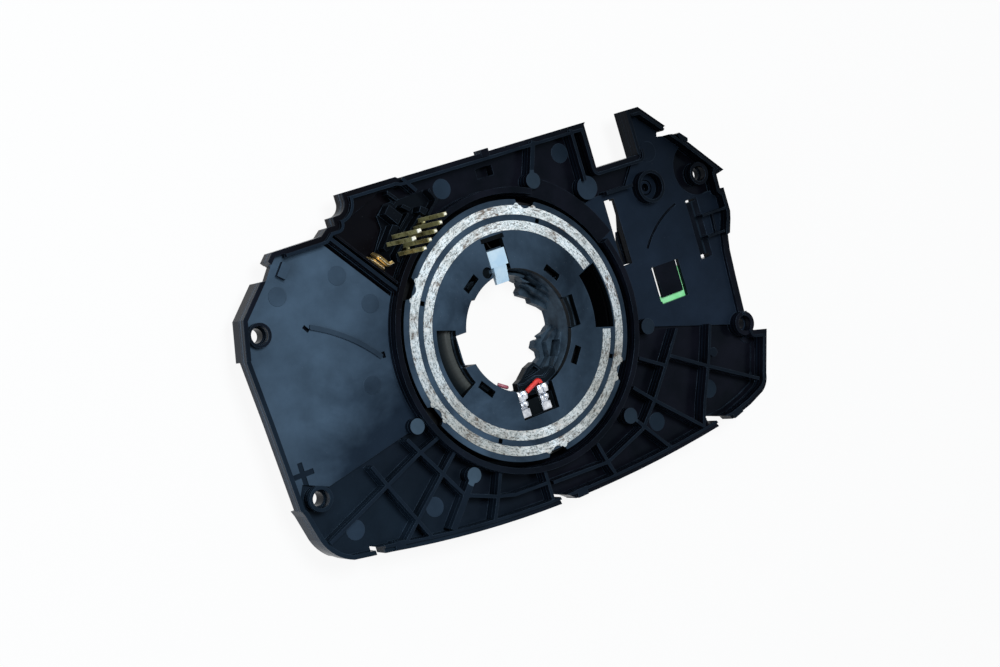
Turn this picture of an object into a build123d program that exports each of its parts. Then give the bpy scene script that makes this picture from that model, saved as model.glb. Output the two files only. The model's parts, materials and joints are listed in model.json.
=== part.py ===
from build123d import *
import os
from math import atan2, cos, degrees, hypot, radians, sin

os.makedirs("parts", exist_ok=True)

# ---------------------------------------------------------------- driving dimensions (mm)
# Origin: rotor axis at the plane that the cassette's rear spigot rests on. +Z is the rotor axis,
# +X runs towards the narrow wing and +Y towards the long straight edge.
FACE_Z = 19.5            # rotor face that carries the slip rings
RIB_TOP = 20.0           # tops of the ribs and of the rim's upstand
LEDGE_TOP = 18.5         # outer ledge of the rim
LIP_TOP = 21.5           # ring lip round the rotor well
LAND_TOP = 17.5          # flat land that takes the lip's place in one sector
WING_TOP = 15.5          # plain wings
WING_UNDER = 13.5
FLOOR_TOP = 14.0         # floor between the ribs
FLOOR_UNDER = 12.0
SKIRT_LOW = 8.5          # skirts at the two left corners
SKIRT_MID = 11.5         # skirt along the rest of the edge
EDGE_TOP = 18.0          # low rim of the two short ends
RIB = 1.3                # rib thickness
RIM = 3.1                # rim thickness: ledge and upstand
LEDGE = 2.0
CORNER_WALL = 1.7        # plain wall that takes the rim's place at the two left corners
CORNER_X = -85.0

# rotor, well and cassette
WELL_R = 53.1
LIP_R = 55.4
ROTOR_R = 50.8
BORE_R = 24.0
DISC_T = 2.5
OUTER_RING = (44.9, 48.5)
INNER_RING = (38.85, 42.55)
RING_T = 0.4
RING_PROUD = 0.25
SLEEVE_R = (27.9, 28.6)
HUB_R = (24.0, 25.8)
HUB_LOW = 0.8
HUB_TOP = 16.6
COVER_Z = (3.0, 4.5)
COVER_HOLE_R = 28.45
FLANGE_R = 31.5
SPIGOT_R = (32.5, 34.5)

# ---------------------------------------------------------------- helpers


def path_edges(path):
    """Edges of a path: a step is a point, or (middle, end) of an arc."""
    edges, here = [], path[0]
    for step in path[1:]:
        if isinstance(step[0], tuple):
            middle, end = step
            edges.append(ThreePointArc(here, middle, end))
        else:
            end = step
            edges.append(Line(here, end))
        here = end
    return edges


def region(path):
    """Face inside a closed path."""
    start = path[0]
    last = path[-1][1] if isinstance(path[-1][0], tuple) else path[-1]
    closed = path if last == start else path + [start]
    return make_face(path_edges(closed))


def slab(face, z0, z1):
    """Solid over a flat face between two heights."""
    return extrude(Pos(0, 0, z0) * face, z1 - z0)


def ring(r_in, r_out, z0, z1):
    return slab(Circle(r_out) - Circle(r_in), z0, z1)


def disc(x, y, r, z0, z1):
    return Pos(x, y, z0) * extrude(Circle(r), z1 - z0)


def box(x0, x1, y0, y1, z0, z1):
    return Pos((x0 + x1) / 2, (y0 + y1) / 2, (z0 + z1) / 2) * Box(x1 - x0, y1 - y0, z1 - z0)


def bar(p, q, width, z0, z1):
    """Straight upright wall from p to q."""
    (x0, y0), (x1, y1) = p, q
    length = hypot(x1 - x0, y1 - y0)
    turn = degrees(atan2(y1 - y0, x1 - x0))
    mid = Pos((x0 + x1) / 2, (y0 + y1) / 2, (z0 + z1) / 2)
    return mid * Rot(0, 0, turn) * Box(length, width, z1 - z0)


def wall(points, width, z0, z1):
    """Upright wall along a polyline, with round corners."""
    parts = [bar(p, q, width, z0, z1) for p, q in zip(points, points[1:])]
    parts += [disc(x, y, width / 2, z0, z1) for x, y in points[1:-1]]
    return parts


def sector(r_in, r_out, a0, a1):
    """Face of a ring between two angles in degrees."""
    def at(r, a):
        return (r * cos(radians(a)), r * sin(radians(a)))
    mid = (a0 + a1) / 2
    return region([at(r_in, a0), at(r_out, a0), (at(r_out, mid), at(r_out, a1)),
                   at(r_in, a1), (at(r_in, mid), at(r_in, a0))])


def polar(r, a):
    return (r * cos(radians(a)), r * sin(radians(a)))


def fuse(parts):
    first, *rest = parts
    return first.fuse(*rest) if rest else first


def save(shape, node):
    export_step(shape, f"parts/{node}.step")


# ---------------------------------------------------------------- carrier plate
OUTLINE = [
    (-111.3, 23.0), (-107.9, 37.3), (-97.0, 48.4), (-92.2, 54.3), (-89.5, 57.0), (-69.0, 57.2),
    (-65.9, 59.5), (-62.4, 59.5), (-62.4, 62.6), (-59.6, 62.7), ((-57.1, 64.2), (-56.0, 66.6)),
    (-56.0, 70.1), (-32.6, 70.1), (-31.6, 69.4), (57.8, 69.3), (57.0, 68.3), (57.0, 50.5),
    (77.9, 50.4), (77.9, 69.0), (85.3, 69.0), (104.5, 50.2), (119.8, 33.5), (115.4, 32.6),
    (115.2, 26.6), (117.2, 26.4), (117.2, 16.0), (116.2, 12.9), (113.9, 7.4), (112.6, 0.9),
    (111.8, -10.1), (110.9, -28.0), (111.7, -34.7), (118.9, -36.4), (112.1, -54.2),
    ((110.5, -58.0), (107.4, -60.7)), (99.4, -63.7), (88.3, -66.3), (80.3, -66.8),
    ((40.7, -69.8), (3.4, -70.1)), (-3.6, -69.9), ((-39.5, -67.0), (-79.7, -60.3)),
    (-94.6, -57.6), ((-101.6, -52.6), (-105.1, -46.4)), (-107.6, -36.3), (-108.6, -33.9),
    (-110.0, -0.5), (-111.3, 23.0),
]

# places where the rim is cut away down to the plate's edge
EDGE_CUTS = [
    [(-85.5, -56.2), (-82.0, -57.0), (-82.0, -63.0), (-85.5, -63.0)],
    [(-4.4, -65.6), (0.6, -67.8), (3.4, -69.9), (3.4, -73.0), (-3.6, -73.0), (-3.6, -69.6)],
    [(77.1, -60.8), (78.3, -61.6), (87.3, -64.8), (88.3, -66.2), (88.3, -70.0), (80.3, -70.0),
     (80.3, -66.6)],
    [(95.6, 58.1), (93.2, 56.4), (92.8, 55.0), (100.4, 53.8), (101.4, 54.0), (104.0, 60.0)],
    [(-97.2, 48.2), (-93.6, 48.0), (-90.4, 52.2), (-92.2, 54.3), (-98.0, 56.0)],
]

LEFT_WING = [
    (-111.3, 23.0), (-107.9, 37.3), (-97.0, 48.4), (-92.2, 54.3), (-89.5, 57.0), (-68.6, 57.2),
    (-68.6, 54.9), (-46.0, 26.3), ((-54.0, 2.0), (-49.5, -20.5)), (-94.2, -29.7),
    (-104.0, -25.5), (-108.6, -33.9), (-110.0, -0.5),
]
RIGHT_WING = [
    (46.0, 37.2), (52.0, 39.2), (70.0, 39.2), (78.6, 50.0), (78.6, 68.2), (85.0, 68.4),
    (99.6, 53.8), (103.3, 48.4), ((96.8, 35.0), (107.6, 26.5)), (115.2, 26.9), (117.2, 26.4),
    (117.2, 16.0), (116.2, 12.9), (113.9, 7.4), (112.6, 0.9), (111.8, -10.1), (110.9, -28.0),
    (107.8, -30.7), (61.9, -17.6), (52.0, -15.0), ((54.0, 12.0), (46.0, 37.2)),
]

# ribs: centre lines of their tops
RIBS = [
    [(-102.2, -48.3), (-57.9, -30.2), (-46.7, -26.8)],
    [(-77.7, -28.0), (-73.7, -37.0), (-62.7, -60.6)],
    [(-60.7, -23.5), (-44.4, -50.9)],
    [(-42.8, -34.3), (-66.2, -53.0), (-73.2, -58.8)],
    [(-26.7, -48.5), (-30.8, -57.0), (-34.8, -64.5)],
    [(-42.7, -52.0), (-31.2, -56.6), (-23.2, -58.8), (-7.6, -59.6)],
    [(-7.6, -54.5), (-7.6, -66.5)],
    [(-5.3, -60.4), (21.6, -61.6), (42.2, -54.9)],
    [(19.2, -53.0), (21.6, -61.6), (23.8, -68.0)],
    [(38.2, -47.9), (52.8, -66.2)],
    [(42.2, -54.9), (51.7, -45.9), (61.8, -34.4), (72.3, -21.8)],
    [(43.4, -37.8), (51.7, -45.9), (71.7, -63.8)],
    [(71.7, -64.5), (75.7, -54.6), (84.0, -38.2), (89.4, -25.2)],
    [(50.0, -27.5), (61.8, -34.4)],
    [(65.4, -31.4), (80.6, -40.2), (106.5, -54.6)],
    [(49.2, 47.0), (49.2, 68.0)],
    [(-30.8, 69.0), (-26.3, 62.9)],
    [(57.5, 39.6), (71.0, 39.4)],
]
WIDE_RIBS = [
    ([(-38.0, -45.6), (-53.2, -61.8)], 2.6),
    ([(30.4, 68.0), (25.2, 55.5)], 1.9),
]

# round pads level with the rib tops: x, y, radius
PADS = [
    (25.2, 53.3, 3.2), (-55.0, -20.3, 3.0), (-38.0, -45.6, 3.0), (38.2, -47.9, 3.2),
    (58.6, -16.7, 3.2), (87.1, -36.7, 1.9),
]
# ejector marks: x, y, radius
WING_MARKS = [(-91.5, 41.3, 3.5), (-66.3, 41.8, 3.6), (-56.6, 28.2, 3.5), (-65.7, -0.5, 3.5),
              (86.0, 50.3, 4.2)]
FLOOR_MARKS = [(-12.2, 60.6, 3.9), (44.8, 60.3, 3.9), (-55.0, -52.2, 3.8), (-88.8, -48.5, 3.8),
               (53.9, -55.7, 3.8), (84.0, -51.5, 3.8)]
MARK_H = 0.2

# screw bosses: x, y, outer radius, top, counterbore radius, bottom
BOSS_HOLE_R = 2.7
BOSSES = [
    (-103.3, 30.4, 4.5, 18.0, 3.4, 9.0),
    (-100.1, -32.2, 4.7, 19.0, 3.4, 9.0),
    (106.5, 35.3, 4.7, 18.7, 3.3, 12.0),
    (107.6, -30.5, 5.0, 19.4, 3.3, 10.0),
]
BOSS_STEP = 4.0
SOCKET = (79.9, 36.6, 6.7, 5.4)
PILOT_R = 1.7
PILOT_GROOVE = (2.7, 3.3)
FOOT = 2.1               # low step along the inside of the rim at the lower right corner
FOOT_AREA = (69.0, 113.0, -63.0, -37.0)


def rim_walls(plate):
    """Stepped rim round the edge, a plain wall at two corners, and skirts below."""
    inside = offset(plate, -RIM)
    upstand = offset(plate, -LEDGE)
    corner = Pos((CORNER_X - 125) / 2, 0) * Rectangle(CORNER_X + 125, 200)
    rim = slab(plate - inside - corner, SKIRT_MID, LEDGE_TOP)
    walls = [
        rim,
        slab(upstand - inside - corner, LEDGE_TOP - 0.1, RIB_TOP),
        slab((plate - offset(plate, -CORNER_WALL)) & corner, SKIRT_LOW, LEDGE_TOP),
    ]
    x0, x1, y0, y1 = FOOT_AREA
    foot = (inside - offset(plate, -RIM - FOOT)) & (Pos((x0 + x1) / 2, (y0 + y1) / 2)
                                                    * Rectangle(x1 - x0, y1 - y0))
    walls.append(slab(foot, FLOOR_TOP - 0.5, FLOOR_TOP + 0.6))
    below = [
        box(-96.5, CORNER_X + 1, 0, 75, SKIRT_LOW - 1, SKIRT_MID),
        box(-99.6, CORNER_X + 1, -75, 0, SKIRT_LOW - 1, SKIRT_MID),
        box(-115, -96.5, -34.1, 22.9, SKIRT_LOW - 1, WING_UNDER),
        box(104, 125, -28, 7.4, SKIRT_LOW - 1, WING_UNDER),
    ]
    above = [
        box(-115, -105, -34.1, 22.9, EDGE_TOP, RIB_TOP + 1),
        box(104, 125, -26, 7.4, EDGE_TOP - 1, RIB_TOP + 1),
    ]
    return fuse(walls).cut(*below, *above)


def arc_band(start, middle, end, width):
    """Face of a curved band with the given centre line."""
    line = ThreePointArc(start, middle, end)
    centre = line.arc_center
    r = line.radius
    def out(p, r_new):
        d = Vector(*p) - centre
        q = centre + d * (r_new / r)
        return (q.X, q.Y)
    lo, hi = r - width / 2, r + width / 2
    return region([out(start, lo), out(start, hi), (out(middle, hi), out(end, hi)),
                   out(end, lo), (out(middle, lo), out(start, lo))])


def carrier_plate():
    plate = region(OUTLINE)
    left, right = region(LEFT_WING), region(RIGHT_WING)
    body = [slab(plate, FLOOR_UNDER, FLOOR_TOP)]
    for wing in (left, right):
        body.append(slab(plate & wing, FLOOR_TOP, WING_TOP))
    body.append(rim_walls(plate))
    body.append(ring(WELL_R - 2, LIP_R, COVER_Z[1], LIP_TOP))
    ribs = []
    for points in RIBS:
        ribs += wall(points, RIB, FLOOR_TOP - 0.5, RIB_TOP)
    for points, width in WIDE_RIBS:
        ribs += wall(points, width, FLOOR_TOP - 0.5, RIB_TOP)
    for x, y, r in PADS:
        ribs.append(disc(x, y, r, FLOOR_TOP - 0.5, RIB_TOP))
    body += ribs
    for x, y, r, top, _, low in BOSSES:
        body.append(disc(x, y, r, low, top))
    x, y, r_out, _ = SOCKET
    body.append(disc(x, y, r_out, FLOOR_UNDER, RIB_TOP))
    body += [disc(x, y, r, WING_TOP - 0.5, WING_TOP + MARK_H) for x, y, r in WING_MARKS]
    body += [disc(x, y, r, FLOOR_TOP - 0.5, FLOOR_TOP + MARK_H) for x, y, r in FLOOR_MARKS]
    body += details_added()
    whole = fuse(body)
    cuts = [Pos(0, 0, COVER_Z[1] - 1) * extrude(Circle(WELL_R), 30)]
    for path in EDGE_CUTS:
        cuts.append(slab(region(path), 0, 30))
    for wing in (left, right):
        cuts.append(slab(offset(plate & wing, -RIM - 0.4), FLOOR_UNDER - 1, WING_UNDER))
    whole = whole.cut(*cuts)
    whole = whole.fuse(*stems_below())
    return whole.cut(*details_cut())


def stems_below():
    """Boss stems and boxes below the plate, which run on through the hollow of the wings."""
    stems = [disc(x, y, r, low, top) for x, y, r, top, _, low in BOSSES]
    x, y, r_out, _ = SOCKET
    stems.append(disc(x, y, r_out, FLOOR_UNDER, WING_UNDER + 0.5))
    px0, px1, py0, py1 = PIT
    stems.append(box(px0 - 1.2, px1 + 1.2, py0 - 1.2, py1 + 1.2, PIT_FLOOR - 1.2, FLOOR_UNDER + 0.5))
    x0, x1, y0, y1 = SLOT
    gusset = make_face(Polyline((y0, WING_UNDER), (y0, 8.0), (17.0, 8.8), (29.6, WING_UNDER),
                                close=True))
    stems.append(Pos(x1 - GUSSET_OVER, 0, 0) * extrude(Plane.YZ * gusset, GUSSET_T))
    gx0, gx1, gy0, gy1 = GROOVE
    stems.append(box(gx0 - 1.4, gx1, gy0 - 1.4, gy1 + 1.4, GROOVE_FLOOR[0] - 1.6, WING_UNDER + 0.5))
    return stems


LAND_SECTOR = (24.0, 66.0)
GUSSET_T = 2.3
GUSSET_OVER = 0.9        # how far the gusset stands in under the slot
SLOT = (58.1, 63.2, 9.1, 36.6)
TONGUE = (73.7, 84.7, -8.6, 4.5)
TONGUE_GAP = 1.4
TONGUE_GAP_LEFT = 2.0
GROOVE = (98.0, 104.2, 0.7, 26.0)
GROOVE_FLOOR = (12.4, 15.3)
GROOVE_ENDS = ((0.7, 2.3), (24.9, 26.0))
GROOVE_OPEN = (99.4, 103.2)
PIT = (4.6, 12.3, 60.0, 64.0)
PIT_FLOOR = 9.6
LUG_WALL = 1.5           # plain wall on the left of the top right lug


def details_added():
    """Walls and lugs beside the ribs."""
    parts = wall([(-66.5, 55.6), (-45.1, 28.6)], RIB, FLOOR_TOP - 0.5, RIB_TOP)
    parts += wall([(-64.5, 57.2), (-43.1, 30.2)], 0.9, FLOOR_TOP - 0.5, RIB_TOP - 1.0)
    for y, x_end in ((18.2, 114.2), (9.2, 110.4)):
        parts.append(box(101.2, x_end, y - 0.45, y + 0.45, WING_UNDER, RIB_TOP))
    parts.append(bar((108.8, 18.2), (108.2, 9.2), 0.8, WING_TOP - 0.5, WING_TOP + 1.6))
    band = arc_band((-83.1, 27.2), (-69.4, 18.9), (-58.6, 8.2), 1.8)
    parts.append(slab(band, WING_TOP - 0.5, WING_TOP + 0.8))
    parts.append(box(6.2, 9.9, 67.6, 70.6, FLOOR_TOP, LEDGE_TOP + 0.6))
    parts.append(box(3.8, 8.7, -70.1, -66.8, FLOOR_TOP, RIB_TOP))
    parts.append(bar((-78.0, -58.7), (-73.9, -59.3), 3.2, FLOOR_TOP, RIB_TOP))
    parts.append(bar((88.2, -64.8), (93.2, -63.5), 2.8, FLOOR_TOP, RIB_TOP))
    parts.append(slab(region([(100.0, 53.7), (101.2, 54.0), (104.7, 50.8), (104.4, 49.6),
                              (101.0, 50.6)]), SKIRT_MID, RIB_TOP))
    parts.append(box(77.9, 77.9 + LUG_WALL, 50.4, 69.0, SKIRT_MID, RIB_TOP))
    parts.append(disc(50.6, 44.0, 4.8, FLOOR_TOP - 0.5, LAND_TOP + MARK_H))
    parts.append(bar((-88.6, 47.4), (-84.9, 51.6), 3.6, WING_UNDER, WING_TOP + 2.2))
    parts.append(slab(region([(-62.5, 58.0), (-43.8, 64.7), (-37.5, 68.2), (-54.0, 68.2),
                              (-57.0, 62.5)]), FLOOR_TOP - 0.5, FLOOR_TOP + 2.6))
    parts.append(slab(sector(LIP_R - 0.5, LIP_R + 5.5, *LAND_SECTOR), FLOOR_TOP - 0.5, LAND_TOP))
    return parts


def details_cut():
    """Openings, grooves and holes."""
    x0, x1, y0, y1 = SLOT
    cuts = [box(x0, x1, y0, y1, FLOOR_UNDER - 1, RIB_TOP)]
    tx0, tx1, ty0, ty1 = TONGUE
    gap = TONGUE_GAP
    cuts += [
        box(tx0 - TONGUE_GAP_LEFT, tx0, ty0 - gap, ty1, 10, 20),
        box(tx1, tx1 + gap, ty0 - gap, ty1, 10, 20),
        box(tx0 - gap, tx1 + gap, ty0 - 2.6, ty0, 10, 20),
        box(tx0, tx1, ty0, ty1, WING_TOP - 0.5, 20),
    ]
    gx0, gx1, gy0, gy1 = GROOVE
    z0, z1 = GROOVE_FLOOR
    ramp = make_face(Polyline((gx0, z0), (gx1, z1), (gx1, WING_TOP + MARK_H),
                              (gx0, WING_TOP + MARK_H), close=True))
    cuts.append(Pos(0, gy1, 0) * extrude(Plane.XZ * ramp, gy1 - gy0))
    for y0, y1 in GROOVE_ENDS:
        cuts.append(box(*GROOVE_OPEN, y0, y1, SKIRT_LOW, WING_TOP + 1))
    cuts.append(box(77.9 + LUG_WALL, 77.9 + RIM + 0.2, 52.2, 66.2, WING_TOP, RIB_TOP + 1))
    band = arc_band((72.5, 12.6), (81.4, 21.0), (92.6, 26.2), 1.1)
    cuts.append(slab(band, WING_TOP - 0.9, WING_TOP + 2))
    cuts.append(bar((-85.2, 28.2), (-83.6, 25.9), 1.4, WING_UNDER + 0.5, WING_TOP + 2))
    cuts.append(bar((-57.4, 9.8), (-57.4, 7.4), 1.4, WING_UNDER + 0.5, WING_TOP + 2))
    cuts.append(box(-107.1, -98.1, -23.2, -21.2, WING_TOP - 0.5, WING_TOP + 1))
    cuts.append(box(-103.6, -101.6, -26.7, -17.7, WING_TOP - 0.5, WING_TOP + 1))
    cuts.append(box(*PIT, PIT_FLOOR, FLOOR_TOP + 1))
    cuts.append(slab(sector(WELL_R - 2, LIP_R + 0.1, *LAND_SECTOR), LAND_TOP, LIP_TOP + 1))
    for x, y, r, top, r_cb, low in BOSSES:
        cuts.append(disc(x, y, BOSS_HOLE_R, low - 1, top + 1))
        cuts.append(disc(x, y, r_cb, top - BOSS_STEP, top + 1))
    x, y, _, r_in = SOCKET
    cuts.append(disc(x, y, r_in, WING_TOP, RIB_TOP + 1))
    cuts.append(disc(x, y, PILOT_R, FLOOR_UNDER + 0.8, WING_TOP + 1))
    cuts.append(Pos(x, y, 0) * ring(*PILOT_GROOVE, WING_TOP - 0.8, WING_TOP + 1))
    return cuts


# ---------------------------------------------------------------- rear cover of the cassette
def cassette_cover():
    """Annular cover with the rear locating spigot."""
    z0, z1 = COVER_Z
    body = ring(COVER_HOLE_R, LIP_R, z0, z1)
    body += ring(SPIGOT_R[0], SPIGOT_R[1], 0, z0)
    return body


# ---------------------------------------------------------------- rotor
RIM_BITES = [68.0, 145.0, 202.5, 271.0, 324.0]
BITE_FLOOR = 48.7
SLOT_ANGLES = [123.0, 38.0, -38.0, 218.0]
TAB_X = -0.15
WINDOW_LEFT = (28.5, 36.9, 163.0, 207.0)
WINDOW_RIGHT = (35.6, 44.5, -15.5, 20.0)
POCKET = (-9.5, 7.5, -33.7, -22.0)
POCKET_DEPTH = 2.8
UNDER_BOX = 15.4
NOTCH_R = 27.95
PIN_HOLES = (60.0, 149.6, 239.0, 329.0)
RECESS = (-6.6, 25.0, 2.2)
BORE_LAND = (22.9, 99.0, 133.0)


def rotor_disc():
    """Face disc with its windows, sleeve and pockets."""
    top, low = FACE_Z, FACE_Z - DISC_T
    r, a0, a1 = BORE_LAND
    body = ring(BORE_R, ROTOR_R, low, top) + slab(sector(r, BORE_R + 0.2, a0, a1), low, top)
    body += ring(*SLEEVE_R, COVER_Z[1] + 0.3, low + 0.1)
    body += ring(SLEEVE_R[0], SLEEVE_R[1] + 1.4, COVER_Z[1] + 0.3, COVER_Z[1] + 1.4)
    px0, px1, py0, py1 = POCKET
    body += box(px0 - 1.2, px1 + 1.2, py0 - 1.2, -27.2, UNDER_BOX, low + 0.1)
    body += box(TAB_X - 5.5, TAB_X + 5.5, 26.4, 33.0, UNDER_BOX, low + 0.1)
    cuts = [slab(sector(*WINDOW_LEFT), low - 1, top + 1),
            slab(sector(*WINDOW_RIGHT), low - 1, top + 1)]
    for a in RIM_BITES:
        cuts.append(rim_bite(a))
    for a in SLOT_ANGLES:
        x, y = polar(27.5, a)
        cuts.append(Pos(x, y, top - 2.5) * Rot(0, 0, a) * Box(3.0, 7.5, 7.0))
    cuts.append(box(px0, px1, py0, py1, top - POCKET_DEPTH, top + 1))
    cuts.append(box(TAB_X - 4.4, TAB_X + 4.4, 20.0, 36.2, top - 2.9, top + 1))
    ramp = make_face(Polyline((36.0, top + 1), (36.0, top - 0.9), (38.6, top), (38.6, top + 1),
                              close=True))
    cuts.append(Pos(TAB_X - 5.4, 0, 0) * extrude(Plane.YZ * ramp, 10.8))
    for x0, x1 in ((-NOTCH_R, -20.0), (20.0, NOTCH_R)):
        cuts.append(box(x0, x1, -6.3, 6.3, low - 1, top + 1))
    for r_in, r_out in (OUTER_RING, INNER_RING):
        cuts.append(ring(r_in, r_out, top + RING_PROUD - RING_T, top + 1))
    x, y, r = RECESS
    cuts.append(disc(x, y, r, top - 2, top + 1))
    for a in PIN_HOLES:
        x, y = polar(43.7, a)
        cuts.append(Pos(x, y, top) * Rot(0, 0, a) * Box(1.8, 1.8, 8))
    return body.cut(*cuts)


def rim_bite(a):
    """Notch in the rotor's rim with a straight floor and slanted ends."""
    face = region([(ROTOR_R + 2, -5.6), (ROTOR_R + 2, 5.6), (BITE_FLOOR, 3.4), (BITE_FLOOR, -3.4)])
    return Rot(0, 0, a) * slab(face, FACE_Z - 6, FACE_Z + 2)


def slip_ring(r_in, r_out, gap=None):
    """Contact ring pressed into the face, interrupted where a window crosses it."""
    top = FACE_Z + RING_PROUD
    body = ring(r_in, r_out, top - RING_T, top)
    if gap:
        body -= slab(sector(*gap), top - 2, top + 1)
    return body


def outer_slip_ring():
    """Outer ring with two weld lugs and a scallop at each notch of the rim."""
    top = FACE_Z + RING_PROUD
    body = slip_ring(*OUTER_RING)
    for a in RIM_BITES:
        for side in (-4.6, 4.6):
            x, y = polar(OUTER_RING[1] - 0.2, a + side)
            body += disc(x, y, 1.1, FACE_Z, top)
        x, y = polar(OUTER_RING[1] + 1.6, a)
        body -= disc(x, y, 2.6, top - 2, top + 1)
    return body


# keys inside the hub, as stacked levels: outline closed along the hub's wall, bottom, top
KEY_LEVELS = [
    ([(18.4, 16.2), (15.0, 16.2), (15.1, 14.2), (13.5, 12.8), (13.6, 11.2), (18.0, 8.6),
      (18.0, 6.8), (21.9, 4.0), (24.2, 1.5), ((22.2, 9.9), (18.4, 16.2))], 0.8, 4.8),
    ([(16.8, 17.6), (13.2, 17.4), (13.6, 15.4), (16.2, 13.4), (17.6, 10.8), (20.8, 8.0),
      (23.9, 4.6), ((21.6, 11.2), (16.8, 17.6))], 4.7, 9.0),
    ([(14.0, 19.8), (10.4, 19.6), (12.0, 16.8), (16.6, 14.6), (19.8, 11.2), (22.8, 8.4),
      ((18.9, 15.3), (14.0, 19.8))], 8.9, 12.6),
    ([(24.2, -3.6), (22.0, -4.7), (20.5, -5.9), (17.4, -6.6), (17.0, -7.8), (14.6, -8.0),
      (13.0, -10.4), (14.9, -12.6), (14.8, -15.0), (11.6, -16.6), (7.5, -16.9), (3.4, -20.2),
      (3.4, -23.95), ((17.2, -17.2), (24.2, -3.6))], 0.8, 4.8),
    ([(23.9, -5.2), (20.8, -6.6), (17.0, -9.4), (16.6, -12.6), (16.4, -15.4), (12.6, -18.4),
      (9.4, -19.2), (8.0, -22.8), ((17.2, -17.1), (23.9, -5.2))], 4.7, 8.6),
    ([(23.4, -6.6), (20.6, -9.4), (18.8, -13.2), (15.6, -17.2), (13.4, -20.2),
      ((18.8, -15.4), (23.4, -6.6))], 8.5, 12.2),
]
KEY_GROOVES = [((12.6, 18.4), (19.8, 12.2)), ((20.6, -9.8), (17.2, -15.6))]
KEY_SLITS = [(16.9, 7.6, 1.6, 0.9), (16.9, -7.6, 1.6, 0.9)]
KEY_STEPS = [(22.4, 98.0, 116.0, 15.8), (22.2, -80.0, -56.0, 10.4)]
SHELF = (21.9, 48.0, 83.0, 13.6)
SHELF_SLOT = (22.8, 23.7, 52.0, 80.0)
FINGER_R = (26.1, 27.2)
FINGER_W = 3.4
FINGER_DROP = 2.0
LAND_GAP = 0.07


def rotor_hub():
    """Keyed hub ring with its flange behind the cover, drive tongue and four latch fingers."""
    r_in, r_out = HUB_R
    z_cover0, z_cover1 = COVER_Z
    body = [
        ring(r_in, r_out, HUB_LOW, HUB_TOP),
        ring(r_out - 0.1, COVER_HOLE_R - LAND_GAP, z_cover0 - 0.4, z_cover1 + 0.1),
        ring(r_out - 0.1, FLANGE_R, HUB_LOW, z_cover0 - 0.3),
    ]
    body += [slab(region(path), low, top) for path, low, top in KEY_LEVELS]
    body.append(slab(sector(r_in, r_out, -14.0, 14.0), HUB_TOP - 0.1, FACE_Z - 0.4))
    for r, a0, a1, top in KEY_STEPS:
        body.append(slab(sector(r, r_in + 0.1, a0, a1), HUB_LOW, top))
    r, a0, a1, top = SHELF
    body.append(slab(sector(r, r_in + 0.1, a0, a1), HUB_LOW, top))
    for a in SLOT_ANGLES:
        foot, finger = (r_out - 0.3, FINGER_R[1]), FINGER_R
        for (r0, r1), z0, z1 in ((foot, HUB_TOP - 2.2, HUB_TOP),
                                 (finger, HUB_TOP - 0.1, FACE_Z - FINGER_DROP)):
            x, y = polar((r0 + r1) / 2, a)
            body.append(Pos(x, y, (z0 + z1) / 2) * Rot(0, 0, a) * Box(r1 - r0, FINGER_W, z1 - z0))
    r0, r1, a0, a1 = SHELF_SLOT
    cuts = [
        box(-27.0, -22.0, -6.3, 6.3, HUB_TOP - 5.0, FACE_Z),
        slab(sector(r0, r1, a0, a1), SHELF[3] - 5.0, SHELF[3] + 1),
    ]
    cuts += [bar(p, q, 1.5, 6.0, HUB_TOP) for p, q in KEY_GROOVES]
    for x, y, dx, dy in KEY_SLITS:
        cuts.append(box(x - dx / 2, x + dx / 2, y - dy / 2, y + dy / 2, 0, 9))
    return fuse(body).cut(*cuts)


def lock_tab():
    """T-shaped tab whose stem slopes down to the bore."""
    z0, z1 = FACE_Z - 2.9, FACE_Z - 0.3
    head = box(TAB_X - 4.05, TAB_X + 4.05, 26.0, 32.5, z0, z1)
    stem = box(TAB_X - 2.9, TAB_X + 2.9, 19.3, 26.5, z0, z1)
    slope = make_face(Polyline((19.0, z1 - 1.3), (26.0, z1), (26.0, z1 + 1), (19.0, z1 + 1),
                               close=True))
    return (head + stem) - Pos(TAB_X - 5, 0, 0) * extrude(Plane.YZ * slope, 10)


RIBBON_Z = (6.1, 15.1)
RIBBON_T = 0.4
LOOP_AT = 80.0
INNER_PACK_R = 30.6
OUTER_PACK_R = (44.6, 50.6)


def ribbon_cable():
    """Flat ribbon: a pack wound on the sleeve, one turned-back loop and a pack in the well."""
    inner = Circle(INNER_PACK_R) - Circle(SLEEVE_R[1] + 0.1)
    outer = Circle(OUTER_PACK_R[1]) - Circle(OUTER_PACK_R[0])
    r = (OUTER_PACK_R[0] - INNER_PACK_R) / 2
    turn = Circle(r + RIBBON_T / 2) - Circle(r - RIBBON_T / 2) - Pos(0, -20) * Rectangle(60, 40)
    loop = Pos(*polar(INNER_PACK_R + r, LOOP_AT)) * Rot(0, 0, LOOP_AT) * turn
    return slab(inner + loop + outer, *RIBBON_Z)


# ---------------------------------------------------------------- terminals and leads
TERMINALS = {"left": -6.9, "right": 3.1}
CRIMP_W = 4.7
CRIMP_L = 3.0
BLADE_W = 3.9
CRIMP_Z = FACE_Z - POCKET_DEPTH


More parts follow.
